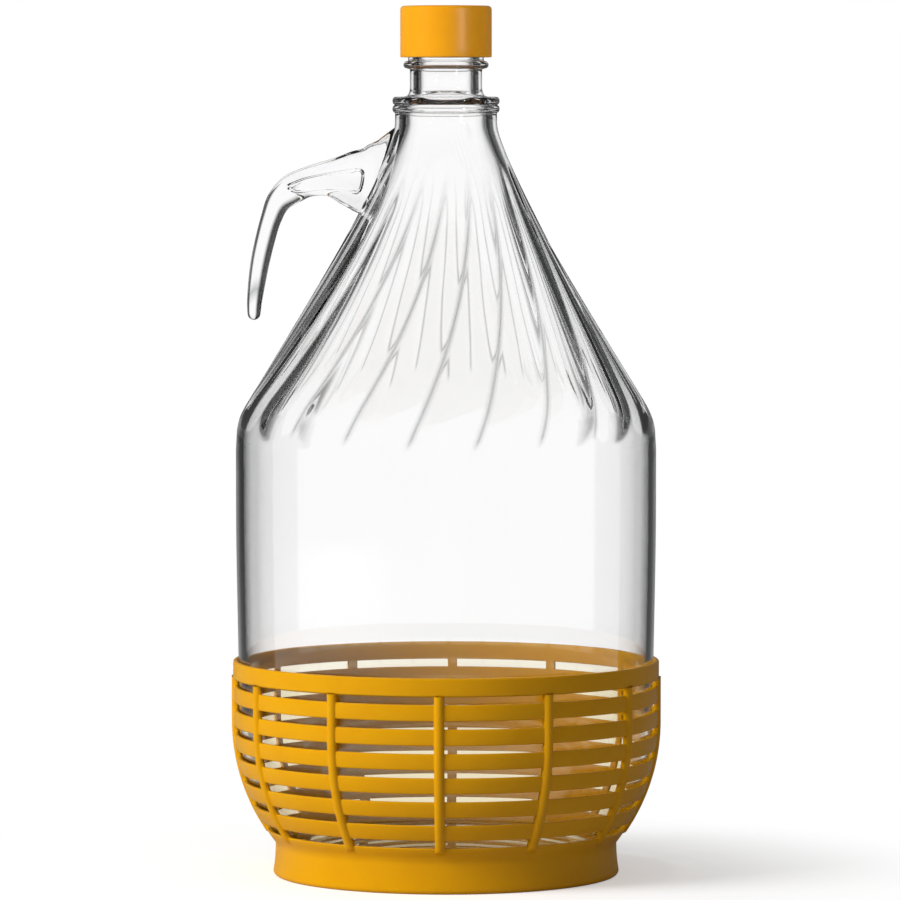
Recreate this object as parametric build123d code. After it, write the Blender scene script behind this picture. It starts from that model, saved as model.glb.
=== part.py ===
from build123d import *
import os
from math import asin, cos, degrees, pi, radians, sin, sqrt

# Glass demijohn in an openwork basket, in millimetres. +Z is up, the origin is on the axis at the
# ground, the handle points to -X, and -Y is the front. An azimuth of 0 is the front, and it grows
# towards +X.

# Bottle body
body_radius = 90.0
heel_narrowing = 1.2  # the body is this much narrower where the basket holds it
body_wall = 3.0
bottom_wall = 5.0
punt_height = 4.0  # how far the middle of the bottom is pushed up
stand_inset = 9.0  # from the heel in to the ring that the bottle stands on
heel_fillet = 5.0
widest_low = 158.0
widest_high = 185.0  # the shoulder starts here

# Bottle shoulder
shoulder_arc = 40.0
shoulder_angle = 33.7  # between the flank's foot and the axis
flank_reach = 60.0  # how far the flank holds its foot's direction
flank_settle = 10.0  # how far below the neck the flank turns upright

# Swirl flutes on the shoulder
flute_count = 20
flute_depth = 1.6
flute_ridge = 0.15  # how far the ridge between two flutes lies under the plain skin
flute_twist = 0.26  # degrees of azimuth per millimetre of height
flute_phase = -2.5  # azimuth of one flute's middle at its lower end
flute_foot = 195.4  # mean height of the rounded lower ends
flute_foot_lean = 13.0  # the lower ends dip this much at the front and rise as much at the back
flute_head = 309.0
flute_fade = 26.0
flute_tool_height = 7.0
flute_end = (-0.25, 0.0, 0.3, 0.65, 1.0, 1.6)  # sections of a lower end, in half widths above it
flute_sections = 4  # from there up to where the flute fades out
flute_reach = 1.2  # half width of the tool, in half widths of the flute

# Bottle neck
neck_radius = 21.8
neck_foot = 322.0
neck_wall = 4.5
collar_foot = 326.6
collar_height = 6.8
collar_proud = 1.1
tube_radius = 15.4
tube_foot = 338.0
tube_flare = 2.8
bead_radius = 18.2
bead_foot = 345.5
bead_height = 3.2
finish_radius = 16.2  # the mouth, without its thread
mouth_height = 20.0
mouth_bore = 11.8
mouth_edge = 0.8

# Hook handle, in the XZ plane, from its root on the flank to its tip
handle_root = 0.72  # place of the root along the flank
handle_reach = 54.2
handle_drop = 62.6
handle_depth = 16.0
handle_thickness = 10.5
handle_slimness = 0.95  # the most that a section of the handle is wide, as a share of its height
handle_tip_radius = 3.0
pocket_depth = 2.6
pocket_edge = 1.6
# Each section's place as shares of the reach and the drop, the handle's slope there in degrees, and
# the section's height as a share of the depth
handle_sections = [
    (-0.166, 0.050, 14.0, 2.05),
    (0.100, 0.100, 14.0, 1.72),
    (0.227, 0.105, 12.0, 1.38),
    (0.399, 0.094, 11.0, 1.00),
    (0.629, 0.138, 18.0, 0.84),
    (0.788, 0.225, 48.0, 0.66),
    (0.865, 0.361, 70.0, 0.54),
    (0.935, 0.593, 77.0, 0.525),
    (0.983, 0.832, 83.0, 0.45),
]
handle_tip_slope = 87.0
# Corners of the pocket, as shares of the reach and the drop
pocket_corners = [
    (0.721, 0.149), (0.371, 0.034), (0.094, -0.046), (0.149, 0.193), (0.260, 0.155), (0.445, 0.142),
]

# Screw cap and liner
cap_radius = 19.55
cap_wall = 1.7
cap_top = 1.9
cap_skirt_gap = 1.6  # from the bead up to the cap's open end
cap_edge = 1.6
liner_thickness = 1.6
liner_clearance = 0.3

# Basket
basket_wall = 1.8
basket_clearance = 0.4  # between the glass and the basket
basket_top = 92.4
rim_height = 7.4
rim_proud = 0.4
bowl_arc = 85.0
bowl_top = 66.0  # below this height the wall curves in
floor_thickness = 2.5
foot_hollow = 7.0  # height of the floor's underside
waist_height = 14.0
foot_spread = 1.0
foot_edge = 2.0
foot_wall = 3.0
rib_count = 12
rib_phase = -1.8
rib_radius = 2.3
rib_proud = 1.2
rib_foot = 17.6  # height where the ribs end
gap_rows = 7
gap_first = 83.0
gap_pitch = 10.25
gap_height = 3.4
post_width = 4.4

# Derived sizes
heel_radius = body_radius - heel_narrowing
seat = foot_hollow + floor_thickness
basket_radius = heel_radius + basket_clearance + basket_wall
glass_arc = bowl_arc - basket_wall - basket_clearance
bowl_centre = basket_radius - bowl_arc
mouth_foot = bead_foot + bead_height
lip = mouth_foot + mouth_height
liner_top = lip + liner_thickness
cap_foot = mouth_foot + cap_skirt_gap


def bowl_radius(arc, height):
    """Radius at a height of the round bowl that the glass and the basket share."""
    return bowl_centre + sqrt(arc**2 - (bowl_top - height) ** 2)


def flank_points():
    """The four control points of the flank, from the shoulder's arc up to the neck."""
    lean = radians(shoulder_angle)
    foot = Vector(
        body_radius - shoulder_arc * (1 - cos(lean)),
        widest_high + shoulder_arc * sin(lean),
    )
    head = Vector(neck_radius, neck_foot)
    return (
        foot,
        foot + Vector(-sin(lean), cos(lean)) * flank_reach,
        head - Vector(0, flank_settle),
        head,
    )


def flank_at(share):
    """Point of the flank's curve at a share of 0 to 1 from its foot."""
    back = 1 - share
    a, b, c, d = flank_points()
    return a * back**3 + b * (3 * back**2 * share) + c * (3 * back * share**2) + d * share**3


def skin_radius(height):
    """Radius of the plain outer skin at a height on the shoulder or the flank."""
    flank_foot = flank_points()[0]
    if height <= widest_high:
        return body_radius
    if height <= flank_foot.Y:
        return body_radius - shoulder_arc + sqrt(shoulder_arc**2 - (height - widest_high) ** 2)
    low, high = 0.0, 1.0
    while high - low > 1e-6:
        middle = (low + high) / 2
        if flank_at(middle).Y < height:
            low = middle
        else:
            high = middle
    return flank_at(low).X


def dome(radius, height, rise):
    """Arc of a sphere on the axis, from a radius at a height up to the axis at rise above it."""
    sphere = (radius**2 + rise**2) / (2 * rise)
    half = asin(radius / sphere) / 2
    middle = (sphere * sin(half), height + rise - sphere * (1 - cos(half)))
    return ThreePointArc((radius, height), middle, (0, height + rise))


def turned(lines):
    """Solid of revolution about Z of the closed outline that the lines make in the XZ plane."""
    return revolve(Plane.XZ * make_face(lines), Axis.Z)


def bottle_skin():
    """The bottle's outer form, solid, without flutes and handle."""
    stand = bowl_radius(glass_arc, seat) - stand_inset
    widest = Vector(body_radius, widest_low)
    shoulder_foot = Vector(body_radius, widest_high)
    foot, reach, settle, head = flank_points()
    collar_middle = collar_foot + collar_height / 2
    collar_head = collar_foot + collar_height
    quarter = collar_height / 4
    bead_middle = bead_foot + bead_height / 2
    bowl_low = asin((bowl_top - seat) / glass_arc)
    heel = Vector(bowl_centre + glass_arc * cos(bowl_low), seat)
    bowl_middle = Vector(
        bowl_centre + glass_arc * cos(bowl_low / 2),
        bowl_top - glass_arc * sin(bowl_low / 2),
    )
    lean = radians(shoulder_angle)
    shoulder_middle = Vector(
        body_radius - shoulder_arc * (1 - cos(lean / 2)),
        widest_high + shoulder_arc * sin(lean / 2),
    )
    tube_step = Vector(tube_radius + tube_flare, collar_head)
    lines = Curve() + [
        Line((0, seat + punt_height), (0, lip)),
        Line((0, lip), (finish_radius - mouth_edge, lip)),
        ThreePointArc(
            (finish_radius - mouth_edge, lip),
            (finish_radius - mouth_edge * (1 - sin(pi / 4)), lip - mouth_edge * (1 - cos(pi / 4))),
            (finish_radius, lip - mouth_edge),
        ),
        Line((finish_radius, lip - mouth_edge), (finish_radius, mouth_foot)),
        ThreePointArc((finish_radius, mouth_foot), (bead_radius, bead_middle), (tube_radius, bead_foot)),
        Line((tube_radius, bead_foot), (tube_radius, tube_foot)),
        Bezier((tube_radius, tube_foot), (tube_radius, collar_head), tube_step),
        Line(tube_step, (neck_radius, collar_head)),
        ThreePointArc(
            (neck_radius, collar_head),
            (neck_radius + collar_proud, collar_head - quarter),
            (neck_radius, collar_middle),
        ),
        ThreePointArc(
            (neck_radius, collar_middle),
            (neck_radius + collar_proud, collar_foot + quarter),
            (neck_radius, collar_foot),
        ),
        Line((neck_radius, collar_foot), head),
        Bezier(head, settle, reach, foot),
        ThreePointArc(foot, shoulder_middle, shoulder_foot),
        Line(shoulder_foot, widest),
        Line(widest, (heel_radius, bowl_top)),
        ThreePointArc((heel_radius, bowl_top), bowl_middle, heel),
        Line(heel, (stand, seat)),
        dome(stand, seat, punt_height),
    ]
    skin = turned(lines)
    heel_edges = skin.edges().filter_by(GeomType.CIRCLE).group_by(Axis.Z)[0].sort_by(SortBy.RADIUS)
    return fillet(heel_edges[-1], heel_fillet)


def bottle_hollow():
    """The space inside the bottle."""
    arc = glass_arc - body_wall
    floor = seat + bottom_wall
    low = asin((bowl_top - floor) / arc)
    heel = Vector(bowl_centre + arc * cos(low), floor)
    bowl_middle = Vector(bowl_centre + arc * cos(low / 2), bowl_top - arc * sin(low / 2))
    lean = radians(shoulder_angle)
    inner = shoulder_arc - body_wall
    inner_body = body_radius - body_wall
    foot, reach, settle, head = flank_points()
    inward = Vector(-cos(lean), -sin(lean)) * body_wall
    neck_inner = neck_radius - neck_wall
    shoulder_middle = Vector(
        inner_body - inner * (1 - cos(lean / 2)),
        widest_high + inner * sin(lean / 2),
    )
    tube_head = tube_foot - tube_flare
    lines = Curve() + [
        Line((0, floor + punt_height), (0, lip)),
        Line((0, lip), (mouth_bore, lip)),
        Line((mouth_bore, lip), (mouth_bore, tube_head)),
        Bezier(
            (mouth_bore, tube_head),
            (mouth_bore, collar_foot),
            (neck_inner, collar_foot + collar_height),
            (neck_inner, collar_foot),
        ),
        Line((neck_inner, collar_foot), (neck_inner, neck_foot)),
        Bezier((neck_inner, neck_foot), settle - Vector(neck_wall, 0), reach + inward, foot + inward),
        ThreePointArc(foot + inward, shoulder_middle, (inner_body, widest_high)),
        Line((inner_body, widest_high), (inner_body, widest_low)),
        Line((inner_body, widest_low), (heel_radius - body_wall, bowl_top)),
        ThreePointArc((heel_radius - body_wall, bowl_top), bowl_middle, heel),
        Line(heel, (heel.X - stand_inset, floor)),
        dome(heel.X - stand_inset, floor, punt_height),
    ]
    hollow = turned(lines)
    floor_edges = hollow.edges().filter_by(GeomType.CIRCLE).group_by(Axis.Z)[0].sort_by(SortBy.RADIUS)
    return fillet(floor_edges[-1], heel_fillet)


def flute_path(azimuth, foot, height):
    """Point of a flute's middle line on the plain skin, and the skin's outward normal there."""
    angle = radians(azimuth + flute_twist * (height - foot) - 90)
    radius = skin_radius(height)
    step = 0.5
    slope = (skin_radius(height + step) - skin_radius(height - step)) / (2 * step)
    point = Vector(radius * cos(angle), radius * sin(angle), height)
    normal = Vector(cos(angle), sin(angle), -slope).normalized()
    return point, normal


def flute_section(azimuth, foot, height, lift):
    """Closed outline, across a flute, of what it takes away, raised off the skin by lift."""
    step = 0.5
    point, normal = flute_path(azimuth, foot, height)
    above = flute_path(azimuth, foot, height + step)[0]
    below = flute_path(azimuth, foot, height - step)[0]
    along = (above - below).normalized()
    radius = skin_radius(height)
    flat = Vector(point.X, point.Y, 0).normalized()
    level = Vector(-flat.Y, flat.X, 0)
    lean = sqrt(max(0.0, 1 - along.dot(level) ** 2))
    half = pi / flute_count * radius * lean
    depth = flute_depth * radius / body_radius
    rise = depth - half**2 / (2 * radius) - flute_ridge
    edge = -depth + rise * flute_reach**2 + lift
    top = flute_tool_height + lift
    plane = Plane(origin=point, x_dir=normal.cross(along), z_dir=along)
    outward = 1 if plane.y_dir.dot(normal) > 0 else -1
    side = flute_reach * half
    left = (-side, outward * edge)
    right = (side, outward * edge)
    middle = (0, outward * (lift - depth))
    lines = Curve() + [
        ThreePointArc(left, middle, right),
        Line(right, (side, outward * top)),
        Line((side, outward * top), (-side, outward * top)),
        Line((-side, outward * top), left),
    ]
    return plane * make_face(lines)


def flute_tool(number):
    """What one flute takes away: rounded at its lower end, fading out at the neck."""
    azimuth = flute_phase + 360 / flute_count * number
    foot = flute_foot - flute_foot_lean * cos(radians(azimuth))
    rounding = pi / flute_count * body_radius
    sections = []
    for share in flute_end:
        shallow = max(0, 1 - share) ** 2
        sections.append(
            flute_section(azimuth, foot, foot + share * rounding, shallow * flute_depth)
        )
    fade_foot = flute_head - flute_fade
    middle_foot = foot + flute_end[-1] * rounding
    for step in range(1, flute_sections + 1):
        height = middle_foot + (fade_foot - middle_foot) * step / flute_sections
        sections.append(flute_section(azimuth, foot, height, 0.0))
    sections.append(flute_section(azimuth, foot, flute_head - flute_fade / 2, 0.25))
    sections.append(flute_section(azimuth, foot, flute_head, 1.0))
    return loft(sections)


def handle_section(x, z, turn, tall, wide):
    """Rounded section of the handle at a point of the XZ plane, across the direction of turn."""
    direction = Vector(-cos(radians(turn)), 0, -sin(radians(turn)))
    plane = Plane(origin=(x, 0, z), x_dir=(0, 1, 0), z_dir=direction)
    return plane * Ellipse(min(wide, handle_slimness * tall) / 2, tall / 2)


def handle_place(out, down):
    """Point of the XZ plane at shares of the handle's reach and drop from its root."""
    root = flank_at(handle_root)
    return -root.X - out * handle_reach, root.Y - down * handle_drop


def handle():
    """The open hook: a deep arm out from the neck, an arch, and a prong down to a rounded tip."""
    sections = []
    for out, down, slope, depth in handle_sections:
        place = handle_place(out, down)
        sections.append(handle_section(*place, slope, depth * handle_depth, handle_thickness))
    x, z = handle_place(1, 1)
    tip_depth = 2 * handle_tip_radius
    sections.append(handle_section(x, z, handle_tip_slope, tip_depth, handle_thickness))
    return loft(sections) + Pos(x, 0, z) * Sphere(handle_tip_radius)


def handle_pocket():
    """The shallow pockets in both faces of the handle's arm."""
    outline = Polyline([handle_place(*corner) for corner in pocket_corners], close=True)
    face = fillet(make_face(outline).vertices(), pocket_edge)
    deep = handle_thickness
    cut = extrude(Plane.XZ * face, deep)
    floor = handle_thickness / 2 - pocket_depth
    return [Pos(0, -floor, 0) * cut, Pos(0, floor + deep, 0) * cut]


def glass_bottle():
    """The bottle: one piece of glass with its flutes, neck and hook handle."""
    skin = bottle_skin()
    skin -= [flute_tool(number) for number in range(flute_count)]
    hook = handle() - handle_pocket()
    return (skin + hook) - bottle_hollow()


def screw_cap():
    """The cap: a plain skirt with a rounded top edge, open below."""
    lines = Curve() + [
        Line((0, liner_top), (0, liner_top + cap_top)),
        Line((0, liner_top + cap_top), (cap_radius, liner_top + cap_top)),
        Line((cap_radius, liner_top + cap_top), (cap_radius, cap_foot)),
        Line((cap_radius, cap_foot), (cap_radius - cap_wall, cap_foot)),
        Line((cap_radius - cap_wall, cap_foot), (cap_radius - cap_wall, liner_top)),
        Line((cap_radius - cap_wall, liner_top), (0, liner_top)),
    ]
    cap = turned(lines)
    return fillet(cap.edges().group_by(Axis.Z)[-1], cap_edge)


def cap_liner():
    """The sealing disc between the bottle's mouth and the cap's underside."""
    radius = cap_radius - cap_wall - liner_clearance
    return Pos(0, 0, lip) * Cylinder(
        radius, liner_thickness, align=(Align.CENTER, Align.CENTER, Align.MIN)
    )


def basket_skin():
    """The basket's outer form, solid, with its rim band and foot but no ribs."""
    waist = bowl_radius(bowl_arc, waist_height)
    bowl_low = asin((bowl_top - waist_height) / bowl_arc)
    bowl_middle = (
        bowl_centre + bowl_arc * cos(bowl_low / 2),
        bowl_top - bowl_arc * sin(bowl_low / 2),
    )
    rim_radius = basket_radius + rim_proud
    foot_radius = waist + foot_spread
    lines = Curve() + [
        Line((0, 0), (0, basket_top)),
        Line((0, basket_top), (rim_radius, basket_top)),
        Line((rim_radius, basket_top), (rim_radius, basket_top - rim_height)),
        Line((rim_radius, basket_top - rim_height), (basket_radius, basket_top - rim_height - rim_proud)),
        Line((basket_radius, basket_top - rim_height - rim_proud), (basket_radius, bowl_top)),
        ThreePointArc((basket_radius, bowl_top), bowl_middle, (waist, waist_height)),
        Bezier((waist, waist_height), (waist, waist_height / 2), (foot_radius, foot_edge)),
        Line((foot_radius, foot_edge), (foot_radius, 0)),
        Line((foot_radius, 0), (0, 0)),
    ]
    skin = turned(lines)
    return fillet(skin.edges().filter_by(GeomType.CIRCLE).group_by(Axis.Z)[0], foot_edge * 0.9)


def basket_hollow():
    """The space that the basket keeps for the bottle, and the hollow under its floor."""
    arc = bowl_arc - basket_wall
    low = asin((bowl_top - seat) / arc)
    middle = (bowl_centre + arc * cos(low / 2), bowl_top - arc * sin(low / 2))
    inner = basket_radius - basket_wall
    lines = Curve() + [
        Line((0, seat), (0, basket_top)),
        Line((0, basket_top), (inner, basket_top)),
        Line((inner, basket_top), (inner, bowl_top)),
        ThreePointArc((inner, bowl_top), middle, (bowl_radius(arc, seat), seat)),
        Line((bowl_radius(arc, seat), seat), (0, seat)),
    ]
    under = bowl_radius(bowl_arc, waist_height) + foot_spread / 2 - foot_wall
    return [
        turned(lines),
        Cylinder(under, foot_hollow, align=(Align.CENTER, Align.CENTER, Align.MIN)),
    ]


def basket_rib(azimuth):
    """One upright rib: a round bar sunk in the wall from the rim band to the lowest slat."""
    bar = rib_radius - rib_proud
    arc = bowl_arc - bar
    low = asin((bowl_top - rib_foot) / arc)
    top = (basket_radius - bar, basket_top - rim_height)
    bend = (basket_radius - bar, bowl_top)
    middle = (bowl_centre + arc * cos(low / 2), bowl_top - arc * sin(low / 2))
    end = (bowl_centre + arc * cos(low), rib_foot)
    path = Plane.XZ * (Curve() + [Line(top, bend), ThreePointArc(bend, middle, end)])
    section = Plane(origin=(top[0], 0, top[1]), z_dir=(0, 0, -1)) * Circle(rib_radius)
    return Rot(0, 0, azimuth - 90) * sweep(section, path=path.wire())


def basket_gaps():
    """The gaps between the slats: rows of arcs that stop at the posts behind the ribs."""
    cuts = []
    span = 360 / rib_count
    for row in range(gap_rows):
        height = gap_first - gap_pitch * row
        radius = basket_radius if height > bowl_top else bowl_radius(bowl_arc, height)
        post = degrees(post_width / radius)
        inner = radius - 4 * basket_wall
        outer = radius + 3 * basket_wall
        sector = Plane.XZ * (Pos((inner + outer) / 2, height) * Rectangle(outer - inner, gap_height))
        arc = revolve(sector, Axis.Z, span - post)
        for column in range(rib_count):
            turn = rib_phase + span * column + post / 2 - 90
            cuts.append(Rot(0, 0, turn) * arc)
    return cuts


def basket():
    """The basket: one moulding of rim band, slats, ribs, floor and foot."""
    skin = basket_skin()
    skin += [basket_rib(rib_phase + 360 / rib_count * number) for number in range(rib_count)]
    skin -= basket_hollow()
    return skin - basket_gaps()


def write(name, solid):
    """Write one node to its own file."""
    solid.label = name
    export_step(solid, os.path.join("parts", name + ".step"))


os.makedirs("parts", exist_ok=True)
write("glass_bottle", glass_bottle())
write("basket", basket())
write("cap_liner", cap_liner())
write("screw_cap", screw_cap())
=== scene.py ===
"""Looks of a glass demijohn with a hook handle, an openwork basket and a screw cap."""

import logging
import math
from dataclasses import dataclass, field
from enum import Enum

import bmesh
import bpy
import numpy as np
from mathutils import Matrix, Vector


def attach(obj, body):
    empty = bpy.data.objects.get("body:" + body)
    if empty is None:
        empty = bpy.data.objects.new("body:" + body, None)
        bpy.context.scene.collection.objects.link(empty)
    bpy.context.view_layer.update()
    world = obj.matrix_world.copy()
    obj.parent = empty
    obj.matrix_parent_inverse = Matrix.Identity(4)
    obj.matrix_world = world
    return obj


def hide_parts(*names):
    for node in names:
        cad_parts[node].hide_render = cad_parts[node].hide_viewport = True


MM = 0.001
# Mesh attribute that masks the painted shade lines along the flute ridges of the glass
RIDGE_SHADE_ATTRIBUTE = "ridge_shade_mask"
WHITE = (1.0, 1.0, 1.0, 1.0)

# Sockets of the Mix node when it mixes colours: several of them share one name
MIX_BASE, MIX_TINT, MIX_RESULT = 6, 7, 2

Colour = tuple[float, float, float, float]
Faces = list[tuple[int, ...]]
Profile = list[tuple[float, float]]
Key = str | int
Socket = tuple[bpy.types.Node, Key]

log = logging.getLogger("demijohn")

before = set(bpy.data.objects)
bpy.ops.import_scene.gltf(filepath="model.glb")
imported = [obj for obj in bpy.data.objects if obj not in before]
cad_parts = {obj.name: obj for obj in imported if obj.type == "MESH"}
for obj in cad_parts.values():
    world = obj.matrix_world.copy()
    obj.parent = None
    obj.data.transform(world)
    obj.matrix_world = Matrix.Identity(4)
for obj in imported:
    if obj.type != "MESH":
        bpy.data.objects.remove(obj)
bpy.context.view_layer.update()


class Body(Enum):
    """The bodies that the pieces ride on."""

    BOTTLE = "bottle"
    LINER = "liner"
    CAP = "cap"


class Slot(Enum):
    """The material slots of the record."""

    GLASS = "clear_glass"
    BASKET = "yellow_plastic"
    CAP = "orange_plastic"
    LINER = "liner_foam"


def smooth_step(value: np.ndarray) -> np.ndarray:
    """Ease a share from 0 to 1, flat at both ends."""
    share = np.clip(value, 0.0, 1.0)
    return share * share * (3.0 - 2.0 * share)


def soft_floor(value: np.ndarray, rounding: float) -> np.ndarray:
    """Keep what is above zero and turn the kink at zero into a small round.

    Args:
        value: heights, some of them under zero.
        rounding: size of the round, in the unit of the heights.

    Returns:
        The heights, none of them under zero.
    """
    return 0.5 * (value + np.sqrt(value * value + rounding * rounding))


def grid_faces(rows: int, columns: int, start: int = 0, flip: bool = False) -> Faces:
    """Quads of a grid whose columns close on themselves.

    Args:
        rows: count of rows of points.
        columns: points in one row.
        start: index of the grid's first point.
        flip: turn the faces over.

    Returns:
        The quads as tuples of point indices.
    """
    faces = []
    for row in range(rows - 1):
        low = start + row * columns
        high = low + columns
        for column in range(columns):
            beside = (column + 1) % columns
            quad = (low + column, low + beside, high + beside, high + column)
            faces.append(quad[::-1] if flip else quad)
    return faces


def mesh_object(name: str, points: np.ndarray, faces: Faces) -> bpy.types.Object:
    """Make a smooth-shaded mesh object from points in millimetres.

    Args:
        name: the piece's name.
        points: one row of x, y, z for each point.
        faces: tuples of point indices.

    Returns:
        The object, linked to the scene.
    """
    mesh = bpy.data.meshes.new(name)
    mesh.from_pydata((points * MM).tolist(), [], faces)
    mesh.validate()
    mesh.shade_smooth()
    piece = bpy.data.objects.new(name, mesh)
    bpy.context.scene.collection.objects.link(piece)
    return piece


def recalculate_normals(piece: bpy.types.Object) -> None:
    """Point every face of a closed mesh outwards."""
    work = bmesh.new()
    work.from_mesh(piece.data)
    bmesh.ops.remove_doubles(work, verts=work.verts, dist=1e-7)
    bmesh.ops.recalc_face_normals(work, faces=work.faces)
    work.to_mesh(piece.data)
    work.free()
    piece.data.shade_smooth()


def closed_tube(name: str, rows: list[np.ndarray]) -> bpy.types.Object:
    """Make a closed mesh object from rings of points, with one face across each end.

    Args:
        name: the object's name.
        rows: the rings, all with the same count of points.

    Returns:
        The object, its faces pointing outwards.
    """
    columns = len(rows[0])
    last = (len(rows) - 1) * columns
    faces = grid_faces(len(rows), columns)
    faces += [tuple(range(columns))[::-1], tuple(range(last, last + columns))]
    piece = mesh_object(name, np.concatenate(rows), faces)
    recalculate_normals(piece)
    return piece


def fan_faces(rows: int, columns: int) -> Faces:
    """Fans that close a grid's first and last row, each to a point that follows the grid's own.

    Args:
        rows: count of rows of the grid.
        columns: points in one row.

    Returns:
        The triangles as tuples of point indices.
    """
    centre, last = rows * columns, (rows - 1) * columns
    faces = []
    for column in range(columns):
        beside = (column + 1) % columns
        faces += [(centre, beside, column), (centre + 1, last + column, last + beside)]
    return faces


def axis_points(*heights: float) -> np.ndarray:
    """Points on the axis at the heights."""
    return np.array([(0.0, 0.0, height) for height in heights])


def closed_turning(name: str, rows: list[np.ndarray], first: float, last: float) -> bpy.types.Object:
    """Make a closed mesh object from level rings that start and end near the axis.

    Args:
        name: the object's name.
        rows: the rings, all with the same count of points.
        first: height of the point on the axis that closes the first ring.
        last: height of the point on the axis that closes the last ring.

    Returns:
        The object, its faces pointing outwards.
    """
    columns = len(rows[0])
    faces = grid_faces(len(rows), columns) + fan_faces(len(rows), columns)
    piece = mesh_object(name, np.concatenate([*rows, axis_points(first, last)]), faces)
    recalculate_normals(piece)
    return piece


class Graph:
    """A small helper that adds and links the nodes of one material or world."""

    def __init__(self, tree: bpy.types.NodeTree) -> None:
        """Start from an empty node tree."""
        self.tree = tree
        tree.nodes.clear()

    def add(self, kind: str, **values: object) -> bpy.types.Node:
        """Add a node and set its inputs and properties.

        Args:
            kind: the node's type name without its prefix.
            values: input names with underscores for blanks, or property names.

        Returns:
            The node.
        """
        node = self.tree.nodes.new("ShaderNode" + kind)
        for key, value in values.items():
            socket = key.replace("_", " ")
            if socket in node.inputs:
                node.inputs[socket].default_value = value
            else:
                setattr(node, key, value)
        return node

    def link(self, source: bpy.types.Node, output: Key, target: bpy.types.Node, entry: Key) -> None:
        """Join an output of one node to an input of another."""
        self.tree.links.new(source.outputs[output], target.inputs[entry])

    def ramp(self, *stops: tuple[float, Colour], interpolation: str = "EASE") -> bpy.types.Node:
        """Add a colour ramp.

        Args:
            stops: two stops, each with its place and colour, rising.
            interpolation: how the ramp goes from one stop to the next.

        Returns:
            The ramp's node.
        """
        node = self.add("ValToRGB")
        node.color_ramp.interpolation = interpolation
        for element, (place, colour) in zip(node.color_ramp.elements, stops):
            element.position = place
            element.color = colour
        return node

    def tint(self, base: Socket, colour: Colour, share: Socket) -> bpy.types.Node:
        """Multiply a colour into another one.

        Args:
            base: node and output of the colour that is tinted.
            colour: the tint.
            share: node and output of how much of the tint is taken.

        Returns:
            The mixing node.
        """
        node = self.add("Mix", data_type="RGBA", blend_type="MULTIPLY")
        node.inputs[MIX_TINT].default_value = colour
        self.link(*share, node, "Factor")
        self.link(*base, node, MIX_BASE)
        return node

    def seen_or_through(self) -> bpy.types.Node:
        """Add a value that is 1 for camera rays and for rays that went through glass."""
        rays = self.add("LightPath")
        seen = self.add("Math", operation="ADD", use_clamp=True)
        self.link(rays, "Is Camera Ray", seen, 0)
        self.link(rays, "Is Transmission Ray", seen, 1)
        return seen


def new_material(name: str) -> tuple[bpy.types.Material, Graph]:
    """Make a material with an empty node tree."""
    material = bpy.data.materials.new(name)
    material.use_nodes = True
    return material, Graph(material.node_tree)


@dataclass(frozen=True)
class ClearGlass:
    """Clear pressed and blown glass, darker where it is seen edge on as painted shade, with painted shade
    lines along its flute ridges, and faintly wavy.

    Low down it has a warm tint, painted light for the light that the yellow basket throws into it.
    """

    name: str = "clear_glass"
    ior: float = 1.5
    roughness: float = 0.0
    face_tint: Colour = WHITE
    # Painted shade where the glass is seen edge on
    edge_painted_shade: Colour = (0.35, 0.36, 0.36, 1.0)
    edge_start: float = 0.62
    # Painted light: warm tint below the basket's top, for the light that the basket throws into the glass
    painted_bounce_light: Colour = (0.945, 0.895, 0.745, 1.0)
    bounce_top: float = 0.094
    bounce_fade: float = 0.006
    # Painted shade along the flute ridges
    ridge_painted_shade: Colour = (0.3, 0.31, 0.31, 1.0)
    shadow_tint: Colour = (0.92, 0.93, 0.93, 1.0)
    wave_scale: float = 22.0
    wave_strength: float = 0.06
    wave_distance: float = 0.0006

    def build(self) -> bpy.types.Material:
        """Make the material.

        Returns:
            The glass, which lets light straight through for shadows.
        """
        material, graph = new_material(self.name)
        # Painted shade: the colour turns dark grey where the glass is seen edge on
        weight = graph.add("LayerWeight", Blend=0.5)
        edge = graph.ramp((self.edge_start, self.face_tint), (1.0, self.edge_painted_shade))
        graph.link(weight, "Facing", edge, "Fac")
        # Painted shade: dark lines along the flute ridges, where the stored mask is high
        ridge_shade_mask = graph.add("Attribute", attribute_name=RIDGE_SHADE_ATTRIBUTE)
        ridge_shaded = graph.tint((edge, "Color"), self.ridge_painted_shade, (ridge_shade_mask, "Fac"))
        place = graph.add("TexCoord")
        split = graph.add("SeparateXYZ")
        graph.link(place, "Object", split, "Vector")
        # Painted light: warm tint on the glass below the basket's top, for the light that the basket throws
        # into it
        depth = graph.add("MapRange", interpolation_type="SMOOTHSTEP", From_Min=self.bounce_top)
        depth.inputs["From Max"].default_value = self.bounce_top - self.bounce_fade
        graph.link(split, "Z", depth, "Value")
        warm = graph.tint((ridge_shaded, MIX_RESULT), self.painted_bounce_light, (depth, "Result"))
        waves = graph.add("TexNoise", Scale=self.wave_scale, Detail=2.0, Roughness=0.4)
        graph.link(place, "Object", waves, "Vector")
        bump = graph.add("Bump", Strength=self.wave_strength, Distance=self.wave_distance)
        graph.link(waves, "Fac", bump, "Height")
        glass = graph.add("BsdfPrincipled", Roughness=self.roughness, IOR=self.ior, Transmission_Weight=1.0)
        graph.link(warm, MIX_RESULT, glass, "Base Color")
        graph.link(bump, "Normal", glass, "Normal")
        clear = graph.add("BsdfTransparent", Color=self.shadow_tint)
        rays = graph.add("LightPath")
        mix = graph.add("MixShader")
        out = graph.add("OutputMaterial")
        graph.link(rays, "Is Shadow Ray", mix, "Fac")
        graph.link(glass, "BSDF", mix, 1)
        graph.link(clear, "BSDF", mix, 2)
        graph.link(mix, "Shader", out, "Surface")
        return material


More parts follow.
